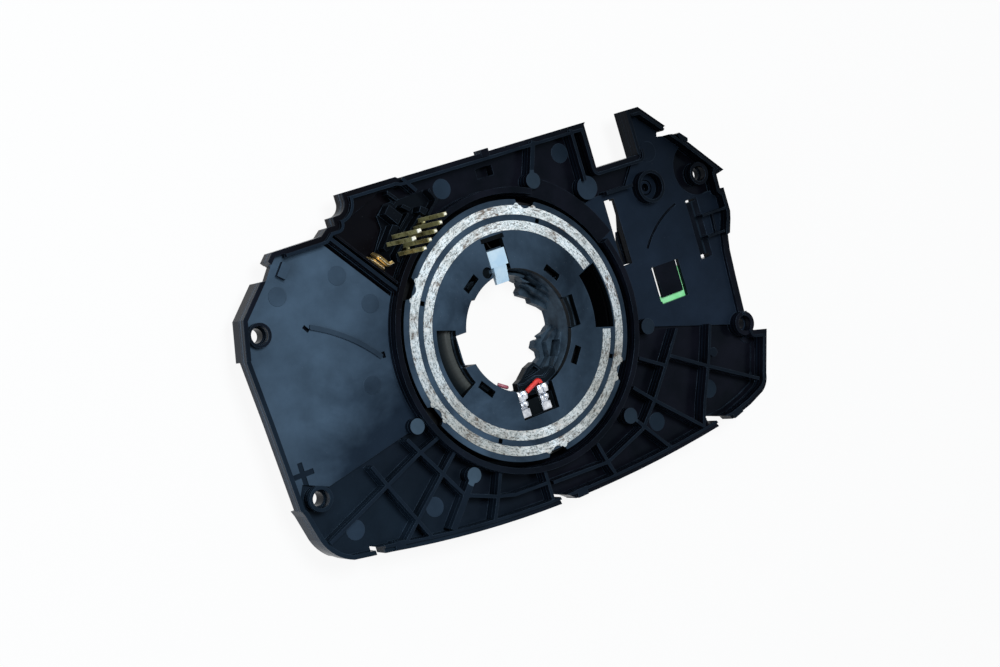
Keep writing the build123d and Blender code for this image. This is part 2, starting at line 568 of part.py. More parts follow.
def terminal(x):
    """Crimped tab terminal: two pairs of rolled crimp wings, a neck and a flat tab."""
    z = CRIMP_Z
    w = CRIMP_W / 2
    section = region([(-0.7 * w, z), (0.7 * w, z), ((w, z + 0.8), (0.85 * w, z + 1.9)),
                      ((0.45 * w, z + 2.6), (0.0, z + 1.9)),
                      ((-0.45 * w, z + 2.6), (-0.85 * w, z + 1.9)), ((-w, z + 0.8), (-0.7 * w, z))])
    wings = extrude(Plane.XZ * section, CRIMP_L)
    crimp = Pos(x, -22.5, 0) * wings + Pos(x, -26.0, 0) * wings
    crimp += box(x - 0.6 * w, x + 0.6 * w, -29.3, -22.5, z, z + 1.2)
    tab = box(x - BLADE_W / 2 + 0.2, x + BLADE_W / 2 + 0.2, -33.4, -28.9, z, z + 1.3)
    return crimp + tab


def round_lead(points, radii, r):
    """Round lead along straight runs and tangent arcs."""
    path = FilletPolyline(*points, radius=radii)
    start = path @ 0
    return sweep(Plane(origin=start, z_dir=path % 0) * Circle(r), path=path)


RED_R = 0.95
RED_PATH = [(3.1, -22.35, 17.8), (3.1, -20.6, 17.8), (-4.1, -23.7, 17.8)]
RED_BENDS = [1.1]
PINK_R = 0.75
PINK_PATH = [(-14.6, -17.2, 16.0), (-11.6, -19.4, 17.3), (-8.9, -19.9, 12.0)]
PINK_BENDS = [1.6]


def wire_bracket():
    """Wire guide in the bore: a V-edged top plate on an angled block."""
    z = HUB_TOP + 1.0
    block = region([(-6.3, -19.6), (-4.1, -18.6), (-1.3, -16.3), (0.1, -15.1), (3.6, -13.9),
                    (6.4, -17.6), (12.0, -18.0), (12.4, -22.0), (3.0, -25.0), (-7.0, -25.0)])
    body = slab(block & Circle(BORE_R), z - 4.8, z - 1.0)
    edge = region([(-6.6, -20.6), (-3.6, -21.1), (2.0, -19.9), (6.0, -21.0), (11.3, -18.3),
                   (8.6, -18.6), (5.9, -20.1), (2.0, -19.1), (-3.6, -20.3), (-6.2, -19.9)])
    body += slab(edge, z - 1.2, z)
    body -= slab(region([(-2.8, -18.8), (0.8, -16.3), (3.3, -15.3), (5.2, -17.6), (2.0, -18.3)]),
                 z - 3.4, z + 1)
    return body


def inner_lead_block():
    """Block on the sleeve where the inner end of the ribbon is clamped."""
    return slab(sector(SLEEVE_R[1], INNER_PACK_R + 0.6, 231.0, 244.0), RIBBON_Z[1] + 0.1,
                FACE_Z - DISC_T)


def green_clip():
    """Contact carrier under the tongue."""
    tx0, tx1, ty0, ty1 = TONGUE
    low, high = ty0 - 3.6, ty0 + 0.4
    z0, z1 = WING_UNDER - 1.6, WING_UNDER
    clip = box(tx0 - 3.2, tx1 + TONGUE_GAP + 1.0, low, high, z0, z1)
    clip += box(tx0 - 3.2, tx0 - 1.2, low, ty0 + 5.6, z0, z1)
    clip += box(tx1 - 1.0, tx1 + TONGUE_GAP + 1.0, low, ty1 - 3.0, z0, z1)
    return clip


LEAD_W = 1.3
LEAD_BEND = 1.0
BENT_LEADS = [
    [(-49.8, 45.2, 15.5), (-49.1, 43.6, 18.9), (-46.4, 39.9, 18.9), (-44.2, 40.2, 18.5)],
    [(-52.4, 44.4, 14.6), (-51.4, 42.9, 18.0), (-48.2, 39.2, 18.0), (-47.4, 38.4, 14.7)],
]


def bent_leads():
    """Two square leads that come out of the header and bend over towards the plate."""
    leads = []
    for points in BENT_LEADS:
        path = FilletPolyline(*points, radius=LEAD_BEND)
        section = Plane(origin=path @ 0, z_dir=path % 0) * Rectangle(LEAD_W, LEAD_W)
        leads.append(sweep(section, path=path))
    return Compound(children=leads)


# ---------------------------------------------------------------- pin header
PIN = 1.5
BASE_T = 1.2
PIN_LOW = FLOOR_TOP + BASE_T
PIN_TOP = FACE_Z + 20.5
ROW_A = [(-28.8, 52.1), (-31.6, 49.7), (-34.7, 47.3), (-37.9, 44.9), (-41.0, 42.5)]
ROW_B = [(-41.5, 49.2), (-44.5, 47.1)]
STUBS = [(-27.0, 50.9), (-36.5, 43.4)]
HEADER_BASE = [(-50.5, 43.0), (-44.0, 38.8), (-42.0, 38.8), (-25.0, 52.0), (-18.2, 57.2),
               (-20.8, 62.4), (-29.6, 61.8), (-39.0, 61.6), (-43.2, 58.0), (-43.0, 53.0)]
HEADER_WALLS = [
    ([(-28.0, 53.6), (-33.2, 49.8), (-37.9, 45.9), (-42.2, 42.4), (-42.4, 39.8)], 0.9, 20.2),
    ([(-31.9, 55.7), (-37.4, 51.2)], 0.8, 19.0),
    ([(-21.2, 62.0), (-18.9, 57.6), (-24.4, 53.0)], 0.9, 20.0),
]
HEADER_BLOCKS = [
    ([(-27.1, 57.1), (-24.4, 55.0), (-26.3, 53.3), (-28.3, 55.2)], 21.0),
    ([(-40.4, 53.6), (-38.0, 52.3), (-44.5, 45.3), (-46.2, 44.8), (-46.9, 46.4)], 20.2),
    ([(-39.6, 60.9), (-35.3, 55.8), (-38.3, 53.0), (-42.3, 58.3)], 20.4),
    ([(-33.6, 59.6), (-30.6, 57.2), (-31.8, 56.4), (-34.6, 58.8)], 20.0),
]
GUIDE_BAR = [(-37.5, 66.1), (-33.8, 61.9), (-34.9, 61.5), (-37.9, 64.8)]


def pin_header():
    """Insulator: base, two rows of channel walls and keying posts."""
    parts = [slab(region(HEADER_BASE), FLOOR_TOP, PIN_LOW)]
    for points, width, top in HEADER_WALLS:
        parts += wall(points, width, PIN_LOW - 0.1, top)
    for outline, top in HEADER_BLOCKS:
        parts.append(slab(region(outline), PIN_LOW - 0.1, top))
    parts.append(slab(region(GUIDE_BAR), FLOOR_TOP, LEDGE_TOP))
    parts.append(bar((-36.0, 63.6), (-34.6, 60.6), 1.2, FLOOR_TOP, PIN_LOW + 0.6))
    return fuse(parts).cut(*pins(ROW_A, PIN_TOP), *pins(ROW_B, PIN_TOP + 1), *pins(STUBS, RIB_TOP))


def pins(places, top):
    return [Pos(x, y, 0) * square_pin(PIN_LOW, top) for x, y in places]


def pin_row(places, top, stubs=()):
    return Compound(children=pins(places, top) + pins(stubs, RIB_TOP))


def square_pin(z0, z1):
    """Square pin with a pointed tip."""
    tip = 1.0
    shaft = box(-PIN / 2, PIN / 2, -PIN / 2, PIN / 2, z0, z1 - tip)
    point = loft([Pos(0, 0, z1 - tip) * Rectangle(PIN, PIN), Pos(0, 0, z1) * Rectangle(0.6, 0.6)])
    return shaft + point


NODES = {
    "carrier_plate": carrier_plate,
    "cassette_cover": cassette_cover,
    "rotor_disc": rotor_disc,
    "outer_slip_ring": outer_slip_ring,
    "inner_slip_ring": lambda: slip_ring(*INNER_RING, gap=(38, 43, -16.5, 20.8)),
    "rotor_hub": rotor_hub,
    "lock_tab": lock_tab,
    "ribbon_cable": ribbon_cable,
    "inner_lead_block": inner_lead_block,
    "terminal_left": lambda: terminal(TERMINALS["left"]),
    "terminal_right": lambda: terminal(TERMINALS["right"]),
    "red_wire": lambda: round_lead(RED_PATH, RED_BENDS, RED_R),
    "pink_wire": lambda: round_lead(PINK_PATH, PINK_BENDS, PINK_R),
    "wire_bracket": wire_bracket,
    "green_clip": green_clip,
    "bent_leads": bent_leads,
    "pin_header": pin_header,
    "pin_row_a": lambda: pin_row(ROW_A, PIN_TOP, STUBS),
    "pin_row_b": lambda: pin_row(ROW_B, PIN_TOP + 1),
}

for node, make in NODES.items():
    save(make(), node)
print("wire bend radii:", {"red_wire": RED_BENDS, "pink_wire": PINK_BENDS})
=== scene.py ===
"""Looks of the steering clock spring: materials, terminals, a turn of ribbon, and the set."""
import json
import math

import bmesh
import bpy
from mathutils import Matrix, Vector


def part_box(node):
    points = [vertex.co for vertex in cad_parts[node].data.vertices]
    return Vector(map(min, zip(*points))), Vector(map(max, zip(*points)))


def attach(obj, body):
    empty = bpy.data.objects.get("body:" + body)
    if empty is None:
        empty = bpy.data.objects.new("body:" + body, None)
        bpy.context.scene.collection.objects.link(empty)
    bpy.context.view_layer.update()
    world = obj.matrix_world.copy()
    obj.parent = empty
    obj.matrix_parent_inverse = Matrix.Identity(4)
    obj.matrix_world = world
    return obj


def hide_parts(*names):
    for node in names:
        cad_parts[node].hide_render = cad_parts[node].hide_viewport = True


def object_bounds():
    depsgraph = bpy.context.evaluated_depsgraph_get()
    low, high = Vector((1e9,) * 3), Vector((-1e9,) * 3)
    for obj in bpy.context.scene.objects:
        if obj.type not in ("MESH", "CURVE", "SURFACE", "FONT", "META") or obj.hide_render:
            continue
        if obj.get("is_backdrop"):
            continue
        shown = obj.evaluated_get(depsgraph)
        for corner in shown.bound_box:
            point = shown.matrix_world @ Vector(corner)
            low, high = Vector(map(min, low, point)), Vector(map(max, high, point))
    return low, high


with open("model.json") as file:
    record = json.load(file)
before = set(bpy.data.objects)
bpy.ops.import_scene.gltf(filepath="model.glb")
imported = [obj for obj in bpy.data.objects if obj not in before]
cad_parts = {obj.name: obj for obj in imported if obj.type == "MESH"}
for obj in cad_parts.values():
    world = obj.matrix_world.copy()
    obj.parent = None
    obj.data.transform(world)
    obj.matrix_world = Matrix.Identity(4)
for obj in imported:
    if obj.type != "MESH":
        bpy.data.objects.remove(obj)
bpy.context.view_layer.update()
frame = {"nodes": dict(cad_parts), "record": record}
MM = 0.001
FACE_Z = 19.5                       # height of the rotor's face in mm


# ---------------------------------------------------------------- material helpers
def srgb(r, g, b):
    """Linear colour from 0..255 display values."""
    def lin(v):
        v /= 255
        return v / 12.92 if v <= 0.04045 else ((v + 0.055) / 1.055) ** 2.4
    return (lin(r), lin(g), lin(b), 1.0)


class Nodes:
    """Small helper that adds and links shader nodes of one material."""

    def __init__(self, name):
        self.mat = bpy.data.materials.new(name)
        self.mat.use_nodes = True
        self.tree = self.mat.node_tree
        self.bsdf = self.tree.nodes["Principled BSDF"]
        self.coord = self.add("ShaderNodeTexCoord").outputs["Object"]

    def add(self, kind, **sockets):
        node = self.tree.nodes.new(kind)
        for key, value in sockets.items():
            self.put(node.inputs[key.replace("_", " ")], value)
        return node

    def put(self, socket, value):
        if isinstance(value, bpy.types.NodeSocket):
            self.tree.links.new(value, socket)
        else:
            socket.default_value = value

    def noise(self, scale, detail=3.0, rough=0.5, distortion=0.0, vector=None):
        node = self.add("ShaderNodeTexNoise", Scale=scale, Detail=detail, Roughness=rough,
                        Distortion=distortion)
        self.put(node.inputs["Vector"], vector or self.coord)
        return node.outputs["Fac"]

    def xyz(self):
        node = self.add("ShaderNodeSeparateXYZ", Vector=self.coord)
        return node.outputs["X"], node.outputs["Y"], node.outputs["Z"]

    def ramp(self, value, stops):
        node = self.add("ShaderNodeValToRGB")
        self.put(node.inputs["Fac"], value)
        points = node.color_ramp.elements
        while len(points) < len(stops):
            points.new(0.5)
        for point, (pos, color) in zip(points, stops):
            point.position = pos
            point.color = color if len(color) == 4 else (*color, 1.0)
        return node.outputs["Color"]

    def math(self, op, a, b=0.0):
        node = self.add("ShaderNodeMath")
        node.operation = op
        self.put(node.inputs[0], a)
        self.put(node.inputs[1], b)
        return node.outputs[0]

    def remap(self, value, low, high, to_low=0.0, to_high=1.0):
        node = self.add("ShaderNodeMapRange")
        for name, v in (("Value", value), ("From Min", low), ("From Max", high),
                        ("To Min", to_low), ("To Max", to_high)):
            self.put(node.inputs[name], v)
        return node.outputs["Result"]

    def mix(self, fac, a, b, mode="MIX"):
        node = self.add("ShaderNodeMix")
        node.data_type = "RGBA"
        node.blend_type = mode
        self.put(node.inputs[0], fac)
        self.put(node.inputs[6], a)
        self.put(node.inputs[7], b)
        return node.outputs[2]

    def two_tone(self, noise, low, high, dark, light):
        """Colour that goes from dark to light as the noise goes from low to high."""
        return self.ramp(self.remap(noise, low, high), [(0.0, dark), (1.0, light)])

    def shade(self, tone, fac, start, end):
        """Tone times a colour that goes from start to end as fac goes from 0 to 1."""
        return self.mix(1.0, tone, self.ramp(fac, [(0.0, start), (1.0, end)]), "MULTIPLY")

    def distance(self, point):
        """Distance from a point that is given in mm."""
        node = self.add("ShaderNodeVectorMath")
        node.operation = "DISTANCE"
        self.put(node.inputs[0], self.coord)
        self.put(node.inputs[1], tuple(v * MM for v in point))
        return node.outputs["Value"]

    def radius(self, x, y):
        """Distance from the rotor's axis."""
        return self.math("SQRT", self.math("ADD", self.math("MULTIPLY", x, x),
                                           self.math("MULTIPLY", y, y)))

    def rounded(self, radius):
        """Normal that rounds the edges."""
        node = self.add("ShaderNodeBevel", Radius=radius)
        node.samples = BEVEL_SAMPLES
        return node.outputs["Normal"]

    def bump(self, height, strength, distance, normal=None):
        node = self.add("ShaderNodeBump", Strength=strength, Distance=distance)
        self.put(node.inputs["Height"], height)
        if normal is not None:
            self.put(node.inputs["Normal"], normal)
        return node.outputs["Normal"]

    def look(self, color, rough, metal=0.0, normal=None, specular=0.5):
        self.put(self.bsdf.inputs["Base Color"], color)
        self.put(self.bsdf.inputs["Roughness"], rough)
        self.put(self.bsdf.inputs["Metallic"], metal)
        self.put(self.bsdf.inputs["Specular IOR Level"], specular)
        if normal is not None:
            self.put(self.bsdf.inputs["Normal"], normal)
        return self.mat


# ---------------------------------------------------------------- materials
BEVEL_SAMPLES = 6
WHITE = (1.0, 1.0, 1.0)
DUST = srgb(150, 160, 168)
# colour of the painted highlight on the edges of moulded plastic
EDGE_GLINT = srgb(84, 104, 124)
EDGE_TURN = (0.985, 0.86)           # cosines between which an edge starts to show
PLASTIC_SHEEN = (0.45, 0.70, 1.0, 1.0)
PLASTIC_SHINE = 0.05
PLASTIC_GLINT = 0.35
PLASTIC_EDGE = 0.0003               # rounding of the edges in metres
METAL_EDGE = 0.00022
GLINT_PATCH_SCALE = 160.0
GRAIN_SCALE = 5200.0
POLISH_SCALE = 120.0
POLISH = (-0.04, 0.05)              # spread of the roughness on one surface

# Levels, places and radii below are in mm, in the CAD's frame.
FACE_BAND = 0.25                    # depth of the rotor face's own finish
FACE_REACH = 48.0                   # |x| at which the painted light falloff on the face ends its fall to the right
POCKET_FLOOR = 16.8                 # height of the sunk part of the rotor, and the y it ends at
POCKET_EDGE = -24.1

LEFT_END, RIGHT_END = -115.0, 115.0
FLOOR_MARKS = (14.05, 14.35)
WING_FACES = (15.35, 15.6)
WING_MARKS = (15.6, 15.85)
ARC_RIDGE = (16.2, 16.4)
LAND_MARK = (17.62, 17.8)
RIB_TOPS = (19.9, 20.1)
RIB_PADS = [(25.2, 53.3), (-55.0, -20.3), (-38.0, -45.6), (38.2, -47.9), (58.6, -16.7)]
RIB_PAD_R = 4.2
HEADER_BAY = (-56.0, 46.0, 14.0)
HEADER_BAY_R = (34.0, 24.0)
WING_SHEEN = (-50.0, -84.0)        # x - y between which a painted sheen makes the left wing light
SHEEN_DRIFT = 16.0
LEFT_FLOOR = (-60.0, -120.0)        # x + y between which painted light makes the floor lighter
DARK_CORNER = (80.0, 150.0)         # x + y between which painted shade darkens the upper right

RING_REACH = 42.0                   # |y| at which the painted shade on a ring's sides has faded
RING_DULL = -850.0                  # y * |x|, in mm2, at which a ring is dullest
FILM_RADII = (36.0, 29.5)           # radii between which painted light makes the ribbon turn pale
WINDOW_SHADE_X = (-22.0, -18.0)           # x, then radii, between which painted shade makes the imported ribbon dark outside the window
WINDOW_SHADE_R = (38.0, 39.0)

PIN_TIP = 39.5                      # height above which a pin is light
TIP_LIGHT = srgb(255, 250, 232)
PLAIN_SPREAD = 0.06                 # spread of the roughness to either side


def edge_mask(n, bevel):
    """1 on edges, where the rounded normal leaves the flat one."""
    flat = n.add("ShaderNodeNewGeometry").outputs["Normal"]
    dot = n.add("ShaderNodeVectorMath")
    dot.operation = "DOT_PRODUCT"
    n.put(dot.inputs[0], flat)
    n.put(dot.inputs[1], bevel)
    return n.remap(dot.outputs["Value"], *EDGE_TURN)


def moulded_finish(n, tone, roughness, glint=PLASTIC_GLINT, shine=PLASTIC_SHINE):
    """Moulded plastic: soft edges with a painted highlight in patches, fine grain, and a bluish
    sheen.
    """
    soft = n.rounded(PLASTIC_EDGE)
    # painted highlight on the edges, broken into patches by noise
    glint_patches = n.remap(n.noise(GLINT_PATCH_SCALE, 4.0), 0.35, 0.6)
    painted_edge_glint = n.math("MULTIPLY", edge_mask(n, soft), glint_patches)
    tone = n.mix(n.math("MULTIPLY", painted_edge_glint, glint), tone, EDGE_GLINT)
    normal = n.bump(n.noise(GRAIN_SCALE, 2.0, 0.6), 0.2, 0.00006, soft)
    n.put(n.bsdf.inputs["Specular Tint"], PLASTIC_SHEEN)
    return n.look(tone, roughness, normal=normal, specular=shine)


def uneven(n, roughness):
    """Roughness with the small spread of a handled surface."""
    return n.math("ADD", roughness, n.remap(n.noise(POLISH_SCALE, 3.0), 0.3, 0.7, *POLISH))


def specks(n, tone, scale, low, high, amount):
    """Tone with small light specks of dust and scuffs."""
    fac = n.remap(n.noise(scale, 3.0, 0.7), low, high)
    return n.mix(n.math("MULTIPLY", fac, amount), tone, DUST)


def moulded(name, dark, light, rough, glint, shine=PLASTIC_SHINE):
    """Moulded plastic with a cloudy tone and faint dust."""
    n = Nodes(name)
    tone = n.two_tone(n.noise(38.0, 4.0, 0.55), 0.35, 0.68, dark, light)
    tone = specks(n, tone, 900.0, 0.66, 0.80, 0.10)
    roughness = n.remap(n.noise(POLISH_SCALE, 3.0), 0.3, 0.7, *rough)
    return moulded_finish(n, tone, roughness, glint, shine)


def rotor_plastic():
    """Rotor: a scuffed face, lighter to the left by painted light, and painted shade on the dark
    parts below it.
    """
    n = Nodes("rotor_plastic")
    x, y, z = n.xyz()
    face = n.two_tone(n.noise(44.0, 5.0, 0.6, 0.3), 0.32, 0.68,
                      srgb(37, 49, 62), srgb(72, 91, 110))
    # painted light: the face is lighter to the left and darker to the right
    far = n.remap(x, -FACE_REACH * MM, FACE_REACH * MM)
    face = n.shade(face, far, WHITE, (0.42,) * 3)
    face = specks(n, face, 1200.0, 0.66, 0.78, 0.22)
    inner = n.two_tone(n.noise(150.0, 4.0, 0.6), 0.35, 0.65,
                       srgb(32, 42, 52), srgb(66, 82, 96))
    # painted shade: the sunk part and the parts under the face are near black
    pocket = n.math("MULTIPLY", n.math("LESS_THAN", y, POCKET_EDGE * MM),
                    n.math("LESS_THAN", z, POCKET_FLOOR * MM))
    painted_shade_below = n.math("MAXIMUM", pocket, n.math("GREATER_THAN", z, POCKET_FLOOR * MM))
    inner = n.mix(painted_shade_below, inner, srgb(9, 12, 14))
    on_face = n.math("GREATER_THAN", z, (FACE_Z - FACE_BAND) * MM)
    tone = n.mix(on_face, inner, face)
    roughness = uneven(n, n.remap(on_face, 0.0, 1.0, 0.42, 0.36))
    return moulded_finish(n, tone, roughness, glint=0.5)


def pads(n):
    """1 on the round pads among the rib tops."""
    mask = 0.0
    for x, y in RIB_PADS:
        near = n.math("LESS_THAN", n.distance((x, y, RIB_TOPS[0])), RIB_PAD_R * MM)
        mask = n.math("MAXIMUM", near, mask)
    return mask


def carrier_plastic():
    """Carrier plate: each level of the moulding has its own finish, with painted light that makes
    it lighter to the left, a painted sheen on the left wing and painted shade at the upper right.
    """
    n = Nodes("carrier_plastic")
    x, y, z = n.xyz()
    # painted light: 0 at the right end, 1 at the left end, where the plate is lit most
    wear_and_painted_light = n.remap(x, RIGHT_END * MM, LEFT_END * MM)
    # painted sheen: the left wing turns light beyond a wandering line
    drift = n.remap(n.noise(26.0, 5.0, 0.6, 0.4), 0.3, 0.7, -SHEEN_DRIFT * MM, SHEEN_DRIFT * MM)
    patch = n.math("ADD", n.math("SUBTRACT", x, y), drift)
    bright = n.remap(patch, *(v * MM for v in WING_SHEEN))
    rise = n.math("ADD", x, y)

    def across(right, left, fac=wear_and_painted_light):
        """Colour of a level from its right end to its left end, a painted light falloff."""
        return n.mix(fac, srgb(*right), srgb(*left))

    wing = n.mix(bright, across((29, 39, 53), (32, 44, 58)), srgb(74, 93, 112))
    rib = across((16, 22, 30), (26, 36, 48))
    # the pads have a lighter finish of their own, and painted light makes them much lighter to
    # the left
    pad = across((24, 32, 42), (98, 122, 142), n.math("MULTIPLY", wear_and_painted_light, wear_and_painted_light))
    # heights of a level, its colour and its roughness
    levels = ((FLOOR_MARKS, across((26, 36, 46), (52, 68, 86)), 0.38),
              (WING_FACES, wing, 0.40),
              (WING_MARKS, n.mix(0.75, srgb(22, 32, 44), wing), 0.36),
              (ARC_RIDGE, n.mix(0.55, srgb(14, 20, 28), wing), 0.34),
              (LAND_MARK, across((26, 36, 48), (70, 88, 106)), 0.36),
              (RIB_TOPS, n.mix(pads(n), rib, pad), 0.32))

    floor = n.two_tone(n.noise(60.0, 4.0, 0.6), 0.35, 0.65, srgb(9, 12, 18), srgb(20, 21, 30))
    # painted light: the floor is lighter towards the lower left
    tone = n.mix(n.remap(rise, *(v * MM for v in LEFT_FLOOR)), floor, srgb(28, 39, 51))
    # the header bay is darker: partly painted shade from its walls, partly its own darker finish
    bay = n.remap(n.distance(HEADER_BAY), *(v * MM for v in HEADER_BAY_R))
    tone = n.mix(bay, tone, srgb(12, 9, 12))
    roughness = 0.2
    for (low, high), paint, rough in levels:
        inside = n.math("MULTIPLY", n.math("GREATER_THAN", z, low * MM),
                        n.math("LESS_THAN", z, high * MM))
        tone = n.mix(inside, tone, paint)
        roughness = n.remap(inside, 0.0, 1.0, roughness, rough)
    tone = n.shade(tone, n.remap(n.noise(70.0, 5.0, 0.6), 0.30, 0.70), (0.66,) * 3, WHITE)
    # painted shade: the upper right is darker
    tone = n.shade(tone, n.remap(rise, *(v * MM for v in DARK_CORNER)), WHITE, (0.32,) * 3)
    tone = specks(n, tone, 1500.0, 0.70, 0.80, 0.28)
    return moulded_finish(n, tone, uneven(n, roughness))


def worn_ring():
    """Contact ring: bright steel with fine streaks, brown stains, painted shade on its left and
    right sides, and a duller lower part.
    """
    n = Nodes("ring_metal")
    x, y, z = n.xyz()
    turn = n.math("ARCTAN2", y, x)
    track = n.add("ShaderNodeCombineXYZ", X=n.math("MULTIPLY", n.radius(x, y), 2.0),
                  Y=n.math("MULTIPLY", turn, 0.030), Z=z).outputs[0]
    streak = n.noise(720.0, 5.0, 0.72, 0.5, track)
    grit = n.noise(2000.0, 3.0, 0.75)
    wear_and_painted_light = n.math("ADD", n.math("MULTIPLY", streak, 0.55), n.math("MULTIPLY", grit, 0.45))
    tone = n.ramp(n.remap(wear_and_painted_light, 0.42, 0.58),
                  [(0.0, srgb(112, 112, 110)), (0.28, srgb(186, 197, 202)),
                   (0.55, srgb(232, 246, 252)), (1.0, srgb(255, 255, 255))])
    cloudy = n.remap(n.noise(105.0, 5.0, 0.7, 0.3), 0.40, 0.58)
    tone = n.shade(tone, cloudy, (0.76, 0.73, 0.70), WHITE)
    stain = n.math("MULTIPLY", n.remap(n.noise(70.0, 5.0, 0.75, 0.3), 0.48, 0.60),
                   n.remap(streak, 0.60, 0.42))
    tone = n.mix(n.math("MULTIPLY", stain, 0.85), tone, srgb(104, 86, 72))
    # painted shade: the ring is darker at its left and right sides than at its top and bottom
    ends = n.remap(n.math("ABSOLUTE", y), 0.0, RING_REACH * MM)
    tone = n.shade(tone, ends, (0.70, 0.72, 0.74), (0.94,) * 3)
    low = n.math("MULTIPLY", y, n.math("ABSOLUTE", x))
    tone = n.shade(tone, n.remap(low, 0.0, RING_DULL * MM * MM), WHITE, (0.60, 0.58, 0.55))
    rough = n.remap(wear_and_painted_light, 0.38, 0.62, 0.55, 0.34)
    return n.look(tone, rough, 0.45, n.bump(wear_and_painted_light, 0.35, 0.00006))


def film():
    """Laminated ribbon: satin with faint lines across it, pale towards the hub by painted light
    and dark outside the window by painted shade.
    """
    n = Nodes("ribbon_film")
    x, y, _ = n.xyz()
    radius = n.radius(x, y)
    turn = n.math("ARCTAN2", y, n.math("ABSOLUTE", x))
    along = n.add("ShaderNodeCombineXYZ", X=turn).outputs[0]
    lines = n.noise(30.0, 5.0, 0.6, 0.0, along)
    # painted light and shade: dark deep in the window, pale towards the hub
    tone = n.ramp(n.remap(radius, *(v * MM for v in FILM_RADII)),
                  [(0.0, srgb(8, 14, 20)), (0.5, srgb(24, 32, 36)), (1.0, srgb(88, 91, 89))])
    tone = n.mix(n.remap(lines, 0.35, 0.70, 0.0, 0.25), tone, srgb(24, 24, 24))
    # painted shade: the ribbon is dark under the disc, outside the window
    painted_shade_outside_window = n.math("MAXIMUM", n.remap(x, *(v * MM for v in WINDOW_SHADE_X)),
                    n.remap(radius, *(v * MM for v in WINDOW_SHADE_R)))
    tone = n.mix(painted_shade_outside_window, tone, srgb(12, 14, 16))
    return n.look(tone, n.remap(lines, 0.3, 0.7, 0.30, 0.42),
                  normal=n.bump(lines, 0.08, 0.0001), specular=0.12)


def plain(name, dark, light, rough, metal=0.0, scale=200.0, grain=0.1, tip=None, glint=None):
    """Cloudy two-tone finish. Above the height tip, in mm, it is light, and edges take a painted
    highlight in the colour glint.
    """
    n = Nodes(name)
    tone = n.two_tone(n.noise(scale, 3.0), 0.35, 0.65, dark, light)
    normal = None
    if tip:
        above = n.math("GREATER_THAN", n.xyz()[2], tip * MM)
        tone = n.mix(above, tone, TIP_LIGHT)
    if glint:
        normal = n.rounded(METAL_EDGE)
        # painted highlight on the edges
        tone = n.mix(edge_mask(n, normal), tone, glint)
    roughness = n.remap(n.noise(scale * 2), 0.3, 0.7, rough - PLAIN_SPREAD, rough + PLAIN_SPREAD)
    return n.look(tone, roughness, metal, n.bump(n.noise(scale * 8), grain, 0.00004, normal))


MATERIALS = {
    "carrier_plastic": carrier_plastic(),
    "rotor_plastic": rotor_plastic(),
    "bracket_plastic": moulded("bracket_plastic", srgb(10, 14, 18), srgb(20, 27, 34),
                               (0.2, 0.3), 0.9),
    "header_plastic": moulded("header_plastic", srgb(6, 8, 11), srgb(12, 15, 20),
                              (0.16, 0.24), 0.5, 0.06),
    "ring_metal": worn_ring(),
    "terminal_metal": plain("terminal_metal", srgb(150, 156, 166), srgb(226, 230, 236), 0.2,
                            metal=0.95, scale=420.0, grain=0.0),
    "pin_metal": plain("pin_metal", srgb(104, 96, 60), srgb(176, 168, 116), 0.3,
                       metal=0.4, tip=PIN_TIP, glint=srgb(236, 226, 180)),
    "lead_metal": plain("lead_metal", srgb(184, 150, 86), srgb(244, 212, 144), 0.22,
                        metal=0.75, glint=srgb(255, 255, 244)),
    "white_plastic": plain("white_plastic", srgb(186, 216, 238), srgb(208, 230, 244), 0.32),
    "green_plastic": plain("green_plastic", srgb(136, 240, 156), srgb(168, 252, 186), 0.35),
    "red_insulation": plain("red_insulation", srgb(206, 30, 28), srgb(250, 70, 62), 0.3),
    "pink_insulation": plain("pink_insulation", srgb(140, 60, 74), srgb(196, 110, 128), 0.4),
    "ribbon_film": film(),
}

slots = {p["node"]: p["material_slot"] for p in frame["record"]["subparts"]}
for name, obj in frame["nodes"].items():
    obj.data.materials.clear()
    obj.data.materials.append(MATERIALS[slots[name]])


# ---------------------------------------------------------------- pieces of the scene's own
def piece(name, mesh, material):
    """Smooth object of a bmesh, which rides on the rotor."""
    bmesh.ops.recalc_face_normals(mesh, faces=mesh.faces)
    data = bpy.data.meshes.new(name)
    mesh.to_mesh(data)
    mesh.free()
    for face in data.polygons:
        face.use_smooth = True
    data.materials.append(MATERIALS[material])
    obj = bpy.data.objects.new(name, data)
    bpy.context.scene.collection.objects.link(obj)
    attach(obj, "rotor")
    return obj


# Leaning start of the ribbon under the left window: radius and height (mm), and the arc it fills.
RIBBON_LEAN = [(36.9, 11.6), (35.6, 13.0), (33.8, 14.4), (31.8, 15.7), (29.8, 16.8)]
RIBBON_ARC = (156.0, 214.0)
RIBBON_STEPS = 36
RIBBON_THICK = 0.2


def ribbon_turn(name):
    """Thin band: the leaning profile swept along its arc, then given its thickness."""
    start, end = RIBBON_ARC
    mesh = bmesh.new()
    rows = []
    for i in range(RIBBON_STEPS + 1):
        a = math.radians(start + (end - start) * i / RIBBON_STEPS)
        rows.append([mesh.verts.new((r * MM * math.cos(a), r * MM * math.sin(a), z * MM))
                     for r, z in RIBBON_LEAN])
    for near, far in zip(rows, rows[1:]):
        for i in range(len(near) - 1):
            mesh.faces.new((near[i], near[i + 1], far[i + 1], far[i]))
    obj = piece(name, mesh, "ribbon_film")
    shell = obj.modifiers.new("thickness", "SOLIDIFY")
    shell.thickness = RIBBON_THICK * MM
    shell.offset = 0.0


ribbon_turn("ribbon_inner_turn")

